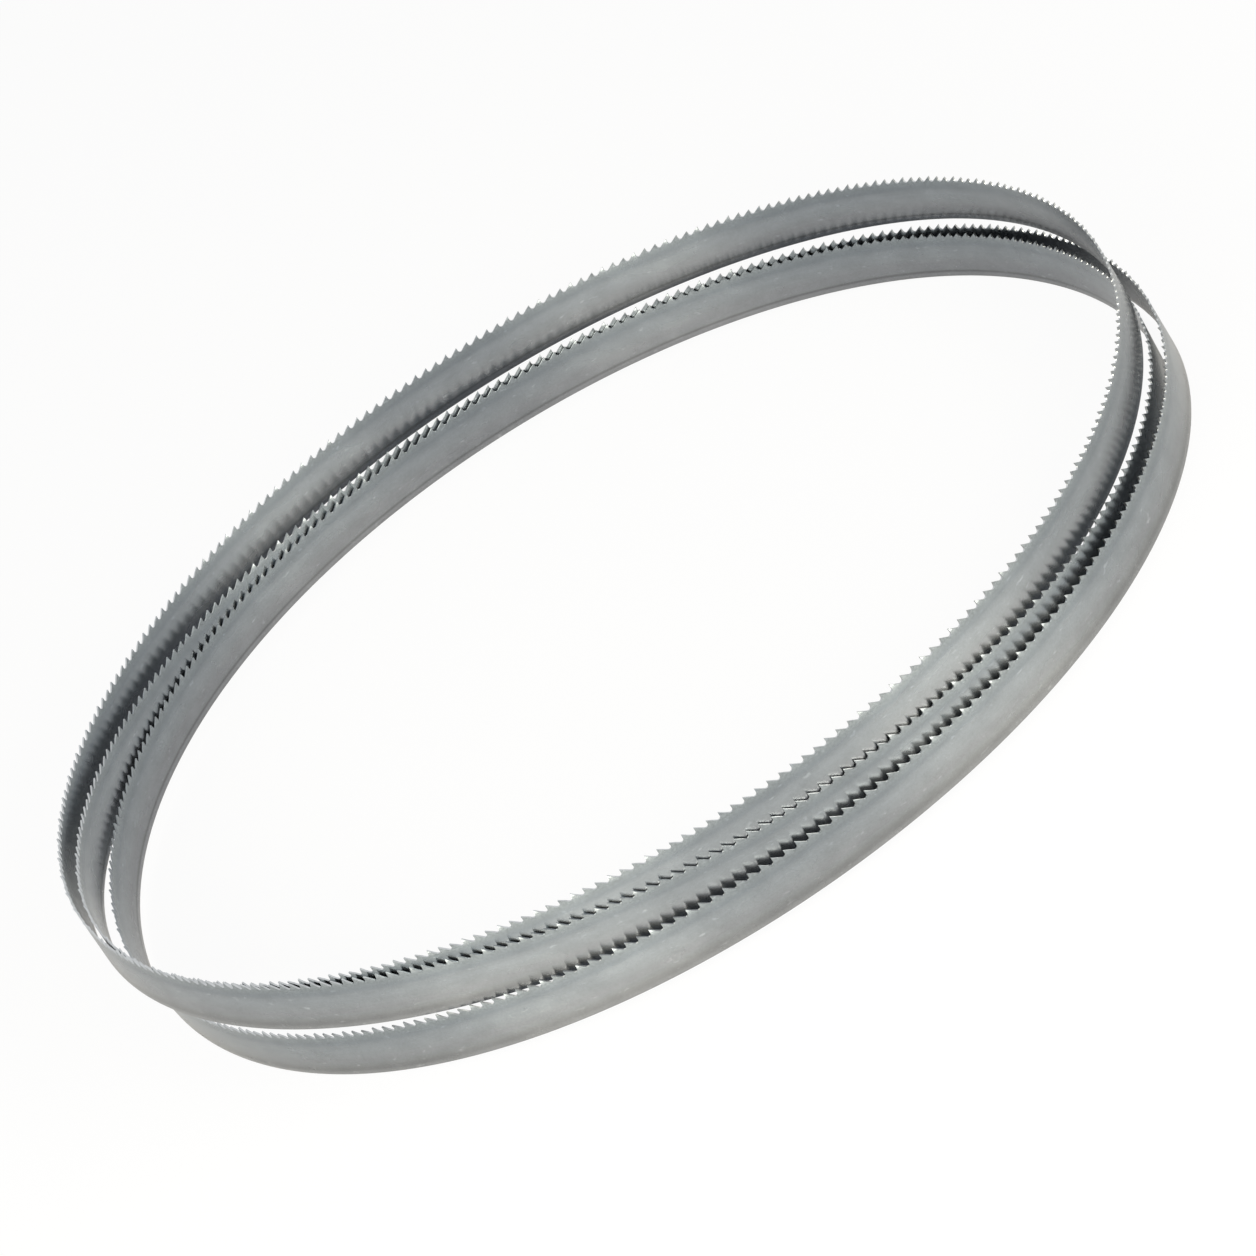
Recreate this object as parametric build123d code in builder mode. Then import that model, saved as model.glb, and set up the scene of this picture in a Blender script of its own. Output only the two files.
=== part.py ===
"""Band saw blade: one endless toothed steel strip, folded into three coils and lying on its back edge.

The strip follows a closed middle line that goes round the ring three times.
Teeth point up (+Z). The origin is on the floor, below the middle of the ring.
"""

from build123d import *
from math import cos, pi, radians, sin
import os

# Steel strip and teeth, in mm
blade_length = 5486.4  # once along the whole endless strip, 18 ft
blade_width = 27.0  # from the back edge to the tooth tips
blade_thickness = 0.9
tooth_pitch = 6.35  # four teeth to the inch
tooth_height = 3.0  # from the gullet floor to the tip
gullet_floor = 1.2  # flat stretch at the bottom of each gullet
tooth_set = 0.4  # how far a set tip leans past the side of the strip

# Raker set: one tooth leans out of the ring, the next leans in, the third stands straight
set_pattern = (1, -1, 0)

# Room that the folded coils leave each other, in mm
side_gap = 0.4  # between the set tips of coils that lie side by side
cross_gap = 0.2  # between a back edge and the tips that it passes over

# The fold: the strip goes round this many times before it meets itself
coils = 3

# Waves of the middle line: number of waves in the whole strip, size, phase in degrees.
# Sideways a size counts coil steps, in height it counts coil lifts.
side_waves = {
    1: (0.78, 14),
    2: (2.18, 91.5),
    4: (1.23, 135),
    5: (0.61, 86),
    6: (1.8, -84.5),
    7: (0.18, 59.5),
    8: (0.36, 123),
    9: (0.26, 127.5),
    10: (0.13, 147),
    11: (0.32, 63),
    13: (0.09, 34.5),
}
height_waves = {
    1: (0.649, 9),
    2: (0.039, 14),
    3: (0.222, -157),
    4: (0.096, -129),
    5: (0.077, 41),
    6: (0.042, -151),
    7: (0.022, 30.5),
    8: (0.027, -167),
    10: (0.006, -20),
    11: (0.015, 32),
}

coil_step = blade_thickness + 2 * tooth_set + side_gap
coil_lift = blade_width + cross_gap
ring_radius = blade_length / (2 * pi * coils)

# Teeth come in whole groups of the set pattern, so that the pattern closes at the weld
group_teeth = len(set_pattern)
groups = round(blade_length / tooth_pitch / group_teeth)
root_height = blade_width - tooth_height
floor_share = gullet_floor / tooth_pitch

# Points that the smooth middle line passes through
line_points = 48 * coils


def wave_sum(waves, share):
    """Adds up the waves of a table at a share, from 0 to 1, of the whole strip."""
    total = 0
    for count, (size, phase) in waves.items():
        total += size * cos(2 * pi * count * share - radians(phase))
    return total


def middle_point(share):
    """Point of the middle line, half way up the strip."""
    angle = 2 * pi * coils * share
    radius = ring_radius + coil_step * wave_sum(side_waves, share)
    height = coil_lift * wave_sum(height_waves, share)
    return Vector(radius * cos(angle), radius * sin(angle), height)


def station(distance):
    """Middle of the strip, its way up to the teeth and its way out of the ring, so far along the strip."""
    reach = tooth_pitch
    length = middle_line.length
    place = middle_line.position_at(distance, PositionMode.LENGTH)
    along = middle_line.tangent_at(distance, PositionMode.LENGTH)
    ahead = middle_line.tangent_at((distance + reach) % length, PositionMode.LENGTH)
    behind = middle_line.tangent_at((distance - reach) % length, PositionMode.LENGTH)
    bend = ahead - behind
    inward = (bend - along * bend.dot(along)).normalized()
    return place, along.cross(inward), inward * -1


def strip_point(group, pitches, height, side):
    """Point of the strip: pitches along a group, height over the back edge, side out of the ring."""
    ends = []
    for place, up, out in (stations[group], stations[(group + 1) % groups]):
        ends.append(place + up * (height - blade_width / 2) + out * side)
    return ends[0] + (ends[1] - ends[0]) * (pitches / group_teeth)


def tooth_corners(group, tooth, side):
    """Foot of the upright face, tip, and foot of the sloping back of one tooth."""
    lean = tooth_set * set_pattern[tooth]
    return (
        strip_point(group, tooth, root_height, side),
        strip_point(group, tooth, blade_width, side + lean),
        strip_point(group, tooth + 1 - floor_share, root_height, side),
    )


def closed_line(points):
    with BuildLine() as line:
        Polyline(*points, close=True)
    return line.wire()


def toothed_line(side):
    points = []
    for group in range(groups):
        for tooth in range(group_teeth):
            points.extend(tooth_corners(group, tooth, side))
    return closed_line(points)


def plain_line(height, side):
    return closed_line([strip_point(group, 0, height, side) for group in range(groups)])


# Closed middle line of the folded strip
with BuildLine() as fold:
    middle_line = Spline(*[middle_point(i / line_points) for i in range(line_points)], periodic=True)

stations = [station(middle_line.length * group / groups) for group in range(groups)]
inside = -blade_thickness / 2
outside = blade_thickness / 2

# Skin of the strip: the toothed edge with its gullets, the back edge, two sides, two faces on each tooth
skin = Face.make_surface_from_curves(toothed_line(inside), toothed_line(outside)).faces()
skin += Face.make_surface_from_curves(plain_line(0, inside), plain_line(0, outside)).faces()
for side in (inside, outside):
    skin += Face.make_surface_from_curves(plain_line(root_height, side), plain_line(0, side)).faces()
    for group in range(groups):
        for tooth in range(group_teeth):
            skin.append(Face(Wire.make_polygon(tooth_corners(group, tooth, side))))
strip = Solid(Shell(skin))

# The ring lies on the floor, with its middle over the origin
extent = strip.bounding_box()
with BuildPart() as saw_blade:
    with Locations((-extent.center().X, -extent.center().Y, -extent.min.Z)):
        add(strip)
saw_blade.part.label = "saw_blade"

os.makedirs("parts", exist_ok=True)
export_step(saw_blade.part, "parts/saw_blade.step")
print("teeth", groups * group_teeth, "middle line", round(middle_line.length, 1), "mm")
print("origin moved by", extent.center().X, extent.center().Y, extent.min.Z)
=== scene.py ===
"""The looks of the band saw blade: its finely cut strip, tempered steel, floor, light and camera."""

from math import asin, atan2, cos, hypot, pi, radians, sin, tan

import bpy
import numpy as np
from mathutils import Matrix, Vector


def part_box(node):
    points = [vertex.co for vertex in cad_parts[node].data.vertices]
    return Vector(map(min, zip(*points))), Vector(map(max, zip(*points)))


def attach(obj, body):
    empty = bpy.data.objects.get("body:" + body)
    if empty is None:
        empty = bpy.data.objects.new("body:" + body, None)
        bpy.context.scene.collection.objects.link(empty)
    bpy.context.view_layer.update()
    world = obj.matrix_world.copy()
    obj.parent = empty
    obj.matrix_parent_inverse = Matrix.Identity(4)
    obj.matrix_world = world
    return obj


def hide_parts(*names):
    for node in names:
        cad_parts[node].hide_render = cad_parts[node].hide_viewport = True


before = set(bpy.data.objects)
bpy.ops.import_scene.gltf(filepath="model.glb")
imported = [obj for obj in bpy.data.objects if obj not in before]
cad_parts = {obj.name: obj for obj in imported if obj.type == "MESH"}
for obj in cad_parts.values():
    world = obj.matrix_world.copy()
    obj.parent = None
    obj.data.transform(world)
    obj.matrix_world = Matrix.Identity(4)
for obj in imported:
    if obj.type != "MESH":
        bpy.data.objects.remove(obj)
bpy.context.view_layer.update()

MM = 0.001

# Steel strip and teeth
BLADE_LENGTH = 5486.4 * MM
BLADE_WIDTH = 27.0 * MM
BLADE_THICKNESS = 0.9 * MM
TOOTH_PITCH = 6.35 * MM
TOOTH_HEIGHT = 3.0 * MM
GULLET_RADIUS = 1.3 * MM
TOOTH_SET = 0.4 * MM
SET_PATTERN = (1, -1, 0)  # one tooth leans out of the ring, the next leans in, the third is straight
EDGE_RADIUS = 0.25 * MM  # rounded corners of the ground back edge
CHORD_SAG = 0.12 * MM  # the solid is straight from one set group to the next, this far inside the curve
ROOT_HEIGHT = BLADE_WIDTH - TOOTH_HEIGHT
TEETH = len(SET_PATTERN) * round(BLADE_LENGTH / TOOTH_PITCH / len(SET_PATTERN))

# How finely the mesh is cut
LENGTH_STEPS = 48  # for each tooth, where the length of the middle line is added up
GULLET_STEPS = 6  # facets round the bottom of a gullet
EDGE_STEPS = 2  # facets round a corner of the back edge
PLAIN_ROWS = (ROOT_HEIGHT - 0.6 * MM, BLADE_WIDTH / 2, 2.5 * MM)  # heights of rows below the gullets
SHARP_ANGLE = 35  # degrees between two faces, from which their edge looks sharp

# The fold: waves of the middle line, as number of waves, size and phase in degrees.
# Sideways a size counts coil steps, in height it counts coil lifts.
COILS = 3
SIDE_GAP = 0.4 * MM
CROSS_GAP = 0.2 * MM
SIDE_WAVES = {
    1: (0.78, 14),
    2: (2.18, 91.5),
    4: (1.23, 135),
    5: (0.61, 86),
    6: (1.8, -84.5),
    7: (0.18, 59.5),
    8: (0.36, 123),
    9: (0.26, 127.5),
    10: (0.13, 147),
    11: (0.32, 63),
    13: (0.09, 34.5),
}
HEIGHT_WAVES = {
    1: (0.649, 9),
    2: (0.039, 14),
    3: (0.222, -157),
    4: (0.096, -129),
    5: (0.077, 41),
    6: (0.042, -151),
    7: (0.022, 30.5),
    8: (0.027, -167),
    10: (0.006, -20),
    11: (0.015, 32),
}
COIL_STEP = BLADE_THICKNESS + 2 * TOOTH_SET + SIDE_GAP
COIL_LIFT = BLADE_WIDTH + CROSS_GAP
RING_RADIUS = BLADE_LENGTH / (2 * pi * COILS)

# Finishes of the strip, in the order of its material slots
INSIDE, OUTSIDE, GROUND = range(3)

# Colours across the strip, from the back edge at 0 to the tooth tips at 1. Low down, the side that faces
# the middle of the ring has a thin darker line, and the outer side only a soft darker band.
INSIDE_LOW_BANDS = (
    (0.00, "#949699"),
    (0.08, "#93959A"),
    (0.12, "#76787B"),
    (0.16, "#8F9296"),
    (0.20, "#919499"),
)
OUTSIDE_LOW_BANDS = (
    (0.00, "#95979A"),
    (0.05, "#919396"),
    (0.10, "#85878A"),
    (0.14, "#85878A"),
    (0.20, "#8C8F92"),
    (0.26, "#909498"),
)
HIGH_BANDS = (
    (0.32, "#92959A"),
    (0.45, "#94999E"),
    (0.60, "#949AA0"),
    (0.68, "#90969C"),
    (0.75, "#878E95"),
    (0.81, "#878E94"),
    (0.86, "#868D92"),
    (1.00, "#8F9599"),
)

# Camera, as seen in the photograph of 1256 by 1256 pixels
PHOTO_PIXELS = 1256
CAMERA_FOCAL_PIXELS = 6134.9
CAMERA_DISTANCE = 2968.6 * MM
CAMERA_ELEVATION = 26.99
CAMERA_AZIMUTH = 0.54
CAMERA_ROLL = 34.41
CAMERA_SLIDE = (7.45 * MM, -10.07 * MM)  # right and up, across the view
SENSOR_WIDTH = 36

# Studio, with lengths in metres
PAPER_SIZE = 8.0
PAPER_DROP = 0.2 * MM  # keeps the paper just clear of the back edge
SEEN_WHITE = 0.92  # share of plain white in the paper that the camera sees
MIRRORED_WHITE = 0.15  # share of plain white in the paper that metal mirrors
WALL_LIGHT = 0.5  # strength of the white walls' light on matt surfaces
SOFTBOX_DISTANCE = 1.6
SOFTBOX_HEIGHT = 1.0
SOFTBOX_WATTS = 30


def linear(hex_colour):
    """Linear RGBA of an sRGB hex colour."""
    channels = [int(hex_colour[i:i + 2], 16) / 255 for i in (1, 3, 5)]
    return (*[c / 12.92 if c <= 0.04045 else ((c + 0.055) / 1.055) ** 2.4 for c in channels], 1)


def add_node(tree, kind, settings=None, **inputs):
    """Adds a node, sets its properties, and sets or links its inputs, by name or as i0, i1 and so on."""
    node = tree.nodes.new(kind)
    for name, value in (settings or {}).items():
        setattr(node, name, value)
    for name, value in inputs.items():
        key = int(name[1:]) if name[1:].isdigit() else name.replace("_", " ")
        if isinstance(value, bpy.types.Node):
            value = value.outputs[0]
        if isinstance(value, bpy.types.NodeSocket):
            tree.links.new(value, node.inputs[key])
        else:
            node.inputs[key].default_value = value
    return node


def new_material(name):
    """A new material and its node tree, with nothing in it yet."""
    material = bpy.data.materials.new(name)
    material.use_nodes = True
    material.node_tree.nodes.clear()
    return material, material.node_tree


def new_object(name, data):
    thing = bpy.data.objects.new(name, data)
    bpy.context.scene.collection.objects.link(thing)
    return thing


# Middle line of the folded strip


def wave_sum(waves, turn):
    """Adds up the waves of a table at turns from 0 to 1, where 1 is once along the whole strip."""
    total = np.zeros_like(turn)
    for count, (size, phase) in waves.items():
        total += size * np.cos(2 * pi * count * turn - radians(phase))
    return total


def middle_line(turn):
    """Points of the middle line, half way up the strip."""
    angle = 2 * pi * COILS * turn
    radius = RING_RADIUS + COIL_STEP * wave_sum(SIDE_WAVES, turn)
    height = COIL_LIFT * wave_sum(HEIGHT_WAVES, turn)
    return np.stack([radius * np.cos(angle), radius * np.sin(angle), height], -1)


def tooth_turns():
    """Where each tooth starts, as turns that cut the middle line evenly, and the length of the whole line."""
    fine = np.linspace(0, 1, LENGTH_STEPS * TEETH + 1)
    steps = np.linalg.norm(np.diff(middle_line(fine), axis=0), axis=1)
    run = np.concatenate([[0], np.cumsum(steps)])
    return np.interp(np.arange(TEETH + 1) / TEETH * run[-1], run, fine), run[-1]


def unit(vectors):
    return vectors / np.linalg.norm(vectors, axis=-1, keepdims=True)


def strip_axes(turn):
    """Place of the middle line, the way up to the teeth and the way out of the ring."""
    reach = 1e-4  # share of the strip that the bend is read over, each way
    here = middle_line(turn)
    ahead = middle_line(turn + reach)
    behind = middle_line(turn - reach)
    along = unit(ahead - behind)
    bend = ahead + behind - 2 * here
    inward = unit(bend - along * (bend * along).sum(-1, keepdims=True))
    return here, np.cross(along, inward), -inward


TOOTH_TURNS, STRIP_RUN = tooth_turns()


# The strip as one mesh


def tooth_outline():
    """Outline of one tooth as (share of a pitch, height) pairs, and the height of the foot of its face, where
    the set starts to bend it. It goes from the tip down the back and round the gullet, up to the next foot,
    which is left to the next tooth."""
    centre = TOOTH_PITCH - GULLET_RADIUS
    foot_height = ROOT_HEIGHT + GULLET_RADIUS
    drop = BLADE_WIDTH - foot_height
    slope = atan2(drop, centre) + asin(GULLET_RADIUS / hypot(centre, drop))
    bend = drop / tan(slope)
    outline = [(0, BLADE_WIDTH), (bend / 2, BLADE_WIDTH - drop / 2), (bend, foot_height)]
    for step in range(GULLET_STEPS):
        angle = -pi / 2 - slope + (pi / 2 + slope) * step / GULLET_STEPS
        outline.append((centre + GULLET_RADIUS * cos(angle), foot_height + GULLET_RADIUS * sin(angle)))
    return [(distance / TOOTH_PITCH, height) for distance, height in outline], foot_height


def edge_corner():
    """Rounded corner of the back edge as (height, inset from the side) pairs, from its top down."""
    angles = [pi / 2 * step / EDGE_STEPS for step in range(EDGE_STEPS + 1)]
    return [(EDGE_RADIUS * (1 - sin(angle)), EDGE_RADIUS * (1 - cos(angle))) for angle in angles]


def strip_points():
    """Points of the strip as (teeth along it, height, way out), and the numbers of each tooth's points."""
    outline, foot_height = tooth_outline()
    tip_rise = BLADE_WIDTH - foot_height
    points = []

    def add_point(teeth, height, out):
        points.append((teeth, height, out))
        return len(points) - 1

    columns = []
    for tooth in range(TEETH):
        lean = TOOTH_SET * SET_PATTERN[tooth % len(SET_PATTERN)]
        column = {}
        for side in (-1, 1):
            flank = side * BLADE_THICKNESS / 2
            tops = []
            for share, height in outline:
                rise = max(0, height - foot_height) / tip_rise
                tops.append(add_point(tooth + share, height, flank + lean * rise))
            foot = add_point(tooth, foot_height, flank)
            middle = add_point(tooth, foot_height + tip_rise / 2, flank + lean / 2)
            rows = [add_point(tooth, height, flank) for height in PLAIN_ROWS]
            rows += [add_point(tooth, height, flank - side * inset) for height, inset in edge_corner()]
            column[side] = {"tops": tops, "foot": foot, "middle": middle, "rows": rows}
        columns.append(column)
    return points, columns


def side_faces(here, after):
    """Faces on one side of the strip, from one tooth's column of points to the next."""
    tops, rows, next_rows = here["tops"], here["rows"], after["rows"]
    faces = [
        [here["middle"], tops[1], tops[0]],
        [here["foot"], tops[2], tops[1], here["middle"]],
        [rows[0], next_rows[0], after["foot"], *reversed(tops[2:]), here["foot"]],
    ]
    for i in range(len(rows) - 1):
        faces.append([rows[i + 1], next_rows[i + 1], next_rows[i], rows[i]])
    return faces


def ground_faces(here, after):
    """Faces from side to side of the strip: the tooth's face and back, the gullet and the back edge."""
    inner, outer = [
        [here[side]["foot"], here[side]["middle"], *here[side]["tops"], after[side]["foot"]]
        for side in (-1, 1)
    ]
    faces = [[outer[i], outer[i + 1], inner[i + 1], inner[i]] for i in range(len(outer) - 1)]
    back_edge = ((here, 1), (here, -1), (after, -1), (after, 1))
    faces.append([column[side]["rows"][-1] for column, side in back_edge])
    return faces


def strip_faces(columns):
    """All faces of the strip, and the finish of each one."""
    faces = []
    finishes = []
    for here, after in zip(columns, columns[1:] + columns[:1]):
        groups = {
            INSIDE: [face[::-1] for face in side_faces(here[-1], after[-1])],
            OUTSIDE: side_faces(here[1], after[1]),
            GROUND: ground_faces(here, after),
        }
        for finish, group in groups.items():
            faces += group
            finishes += [finish] * len(group)
    return faces, finishes


def unroll(mesh, run, height):
    """Maps the mesh flat, in metres along the strip and up from its back edge. At the weld the map runs on
    past the strip's length, so that each face stays in one piece."""
    corners = np.zeros(len(mesh.loops), int)
    mesh.loops.foreach_get("vertex_index", corners)
    starts = np.zeros(len(mesh.polygons), int)
    mesh.polygons.foreach_get("loop_start", starts)
    flat = np.stack([run[corners], height[corners]], -1)
    first = np.repeat(flat[starts, 0], np.diff(np.append(starts, len(flat))))
    flat[:, 0] += STRIP_RUN * np.round((first - flat[:, 0]) / STRIP_RUN)
    mesh.uv_layers.new(name="strip").data.foreach_set("uv", flat.ravel())


def build_strip():
    """The whole strip in the place of its solid, and how far it was moved to get there."""
    points, columns = strip_points()
    faces, finishes = strip_faces(columns)
    teeth, height, side = np.array(points).T
    place, up, out = strip_axes(np.interp(teeth, np.arange(TEETH + 1), TOOTH_TURNS))
    spots = place + up * (height - BLADE_WIDTH / 2)[:, None] + out * (side - CHORD_SAG)[:, None]
    low, high = spots.min(0), spots.max(0)
    box_low, box_high = (np.array(corner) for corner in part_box("saw_blade"))
    shift = (box_low + box_high) / 2 - (low + high) / 2
    shift[2] = box_low[2] - low[2]

    mesh = bpy.data.meshes.new("saw_blade_strip")
    mesh.from_pydata((spots + shift).tolist(), [], faces)
    unroll(mesh, teeth * STRIP_RUN / TEETH, height)
    mesh.materials.append(tempered_steel("tempered_steel_inside", INSIDE_LOW_BANDS + HIGH_BANDS))
    mesh.materials.append(tempered_steel("tempered_steel_outside", OUTSIDE_LOW_BANDS + HIGH_BANDS))
    mesh.materials.append(ground_steel())
    mesh.polygons.foreach_set("material_index", finishes)
    mesh.polygons.foreach_set("use_smooth", [True] * len(mesh.polygons))
    mesh.set_sharp_from_angle(angle=radians(SHARP_ANGLE))
    mesh.validate()
    return new_object("saw_blade_strip", mesh), shift


# Steel


def rolled_up(tree, flat):
    """Place on the strip with its length rolled into a circle, so a pattern shows no seam at the weld."""
    radius = STRIP_RUN / (2 * pi)
    turn = add_node(tree, "ShaderNodeMath", {"operation": "MULTIPLY"}, i0=flat.outputs["X"], i1=1 / radius)
    cosine = add_node(tree, "ShaderNodeMath", {"operation": "COSINE"}, i0=turn)
    sine = add_node(tree, "ShaderNodeMath", {"operation": "SINE"}, i0=turn)
    circle = add_node(tree, "ShaderNodeCombineXYZ", X=cosine, Y=sine)
    wide = add_node(tree, "ShaderNodeVectorMath", {"operation": "SCALE"}, i0=circle, Scale=radius)
    rise = add_node(tree, "ShaderNodeCombineXYZ", Z=flat.outputs["Y"])
    return add_node(tree, "ShaderNodeVectorMath", {"operation": "ADD"}, i0=wide, i1=rise)


def blotches(tree, place, length, width, detail, low, high, least=0.25, most=0.75):
    """Blotches of a real length along the strip and width across it. They go from low to high, where the
    noise behind them goes from least to most."""
    size = (length, length, width)
    scaled = add_node(tree, "ShaderNodeVectorMath", {"operation": "DIVIDE"}, i0=place, i1=size)
    noise = add_node(tree, "ShaderNodeTexNoise", Vector=scaled, Scale=1.0, Detail=detail)
    return add_node(tree, "ShaderNodeMapRange", Value=noise.outputs["Fac"], From_Min=least, From_Max=most,
                    To_Min=low, To_Max=high)


def tempered_steel(name, colours):
    """Cold-rolled carbon steel strip, hardened and tempered: a satin grey that mirrors softly, more sharply
    along the strip than across it, with a bluish heat tint by the teeth and colours that change across it."""
    material, tree = new_material(name)
    uv = add_node(tree, "ShaderNodeUVMap", {"uv_map": "strip"})
    flat = add_node(tree, "ShaderNodeSeparateXYZ", Vector=uv)
    place = rolled_up(tree, flat)

    across = add_node(tree, "ShaderNodeMath", {"operation": "DIVIDE"}, i0=flat.outputs["Y"], i1=BLADE_WIDTH)
    bands = add_node(tree, "ShaderNodeValToRGB", Fac=across)
    ramp = bands.color_ramp
    while len(ramp.elements) < len(colours):
        ramp.elements.new(0.5)
    for element, (height, colour) in zip(ramp.elements, colours):
        element.position = height
        element.color = linear(colour)

    # Real rolling lines and grain are finer than a pixel, so both are drawn coarser
    rolling_lines = blotches(tree, place, length=90 * MM, width=0.7 * MM, detail=1.0, low=0.98, high=1.02)
    near_teeth = add_node(tree, "ShaderNodeMapRange", Value=flat.outputs["Y"], From_Min=21 * MM,
                          From_Max=25 * MM, To_Min=1.05, To_Max=1.4)  # the grain is paler by the teeth
    grain = blotches(tree, place, length=1.3 * MM, width=1.0 * MM, detail=2.0, low=0.94, high=near_teeth)
    oil_film = blotches(tree, place, length=14 * MM, width=7 * MM, detail=4.0, low=0.92, high=1.08)
    handling_marks = blotches(tree, place, length=6 * MM, width=2.2 * MM, detail=2.0, low=1.0, high=1.4,
                              least=0.66, most=0.8)
    shade = rolling_lines
    for pattern in (oil_film, grain, handling_marks):
        shade = add_node(tree, "ShaderNodeMath", {"operation": "MULTIPLY"}, i0=shade, i1=pattern)

    shader = add_node(
        tree,
        "ShaderNodeBsdfPrincipled",
        Base_Color=add_node(tree, "ShaderNodeVectorMath", {"operation": "SCALE"}, i0=bands, Scale=shade),
        Metallic=1.0,
        Roughness=blotches(tree, place, length=30 * MM, width=10 * MM, detail=2.0, low=0.24, high=0.29),
        Anisotropic=0.78,
        Anisotropic_Rotation=0.25,  # a quarter turn: reflections spread across the rolling lines
        Tangent=add_node(tree, "ShaderNodeTangent", {"direction_type": "UV_MAP", "uv_map": "strip"}),
    )
    add_node(tree, "ShaderNodeOutputMaterial", Surface=shader)
    return material


def ground_steel():
    """Milled gullets, ground tooth faces and back edge: bare bright steel, patchy where the wheel cut deeper,
    with a soft mirror that spreads alike both ways."""
    material, tree = new_material("ground_steel_edge")
    uv = add_node(tree, "ShaderNodeUVMap", {"uv_map": "strip"})
    place = rolled_up(tree, add_node(tree, "ShaderNodeSeparateXYZ", Vector=uv))
    patches = blotches(tree, place, length=3 * MM, width=3 * MM, detail=2.0, low=0.85, high=1.15)
    bare = linear("#BEC1C3")[:3]
    colour = add_node(tree, "ShaderNodeVectorMath", {"operation": "SCALE"}, i0=bare, Scale=patches)
    shader = add_node(tree, "ShaderNodeBsdfPrincipled", Base_Color=colour, Metallic=1.0, Roughness=0.3)
    add_node(tree, "ShaderNodeOutputMaterial", Surface=shader)
    return material


# Studio


def ray_shares(tree):
    """Whether a ray comes from the camera, and whether it comes off metal or through glass."""
    path = add_node(tree, "ShaderNodeLightPath")
    mirrored = add_node(tree, "ShaderNodeMath", {"operation": "MAXIMUM"}, i0=path.outputs["Is Glossy Ray"],
                        i1=path.outputs["Is Transmission Ray"])
    return path.outputs["Is Camera Ray"], mirrored


def white_paper():
    """Seamless white paper: matt and slightly grey, but white to the camera, apart from a faint shadow.
    Metal shows it mostly as the lamps and the shadows leave it: paler in front, dark between the coils."""
    material, tree = new_material("white_paper")
    seen, mirrored = ray_shares(tree)
    direct = add_node(tree, "ShaderNodeMath", {"operation": "MULTIPLY"}, i0=seen, i1=SEEN_WHITE)
    share = add_node(tree, "ShaderNodeMath", {"operation": "MULTIPLY_ADD"}, i0=mirrored, i1=MIRRORED_WHITE,
                     i2=direct)
    matt = add_node(tree, "ShaderNodeBsdfDiffuse", Color=linear("#F2F2F2"))
    white = add_node(tree, "ShaderNodeEmission", Color=linear("#FFFFFF"), Strength=1.0)
    mix = add_node(tree, "ShaderNodeMixShader", Fac=share, i1=matt, i2=white)
    add_node(tree, "ShaderNodeOutputMaterial", Surface=mix)
    return material


def build_floor():
    half = PAPER_SIZE / 2
    corners = [(-half, -half, 0), (half, -half, 0), (half, half, 0), (-half, half, 0)]
    mesh = bpy.data.meshes.new("floor")
    mesh.from_pydata(corners, [], [(0, 1, 2, 3)])
    mesh.materials.append(white_paper())
    floor = new_object("floor", mesh)
    floor.location.z = -PAPER_DROP


def build_world():
    """White studio walls: plain white to the camera and to metal, and a weaker light on matt surfaces."""
    world = bpy.data.worlds.new("studio")
    bpy.context.scene.world = world
    world.use_nodes = True
    tree = world.node_tree
    tree.nodes.clear()
    seen, mirrored = ray_shares(tree)
    shown = add_node(tree, "ShaderNodeMath", {"operation": "MAXIMUM"}, i0=seen, i1=mirrored)
    strength = add_node(tree, "ShaderNodeMapRange", Value=shown, To_Min=WALL_LIGHT, To_Max=1.0)
    back = add_node(tree, "ShaderNodeBackground", Color=linear("#FFFFFF"), Strength=strength)
    add_node(tree, "ShaderNodeOutputWorld", Surface=back)


def build_softbox(name, azimuth, width):
    """A large warm softbox to one side of the camera, low down and facing the middle of the ring."""
    light = bpy.data.lights.new(name, "AREA")
    light.shape = "RECTANGLE"
    light.size = width
    light.size_y = SOFTBOX_HEIGHT
    light.energy = SOFTBOX_WATTS
    light.color = linear("#FFF8E6")[:3]
    turn = radians(azimuth)
    place = Vector((SOFTBOX_DISTANCE * cos(turn), SOFTBOX_DISTANCE * sin(turn), SOFTBOX_HEIGHT / 2))
    lamp = new_object(name, light)
    lamp.location = place
    lamp.rotation_euler = (-place).to_track_quat("-Z", "Y").to_euler()


def build_camera(shift):
    """The photograph's camera. It was fitted to the middle line, so it is moved by the same shift."""
    elevation = radians(CAMERA_ELEVATION)
    azimuth = radians(CAMERA_AZIMUTH)
    back = Vector((cos(elevation) * sin(-azimuth), -cos(elevation) * cos(azimuth), sin(elevation)))
    level = Vector((cos(azimuth), sin(-azimuth), 0))
    right = Matrix.Rotation(-radians(CAMERA_ROLL), 3, back) @ level
    up = back.cross(right)
    place = Vector(shift) + back * CAMERA_DISTANCE + right * CAMERA_SLIDE[0] + up * CAMERA_SLIDE[1]
    data = bpy.data.cameras.new("camera")
    data.sensor_width = SENSOR_WIDTH
    data.lens = SENSOR_WIDTH * CAMERA_FOCAL_PIXELS / PHOTO_PIXELS
    camera = new_object("camera", data)
    camera.matrix_world = Matrix.Translation(place) @ Matrix((right, up, back)).transposed().to_4x4()
    bpy.context.scene.camera = camera


strip, shift = build_strip()
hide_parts("saw_blade")
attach(strip, "root")

build_floor()
build_world()
build_softbox("softbox_left", azimuth=228, width=1.3)
build_softbox("softbox_right", azimuth=311, width=1.2)
build_camera(shift)
bpy.context.scene.view_settings.view_transform = "Standard"
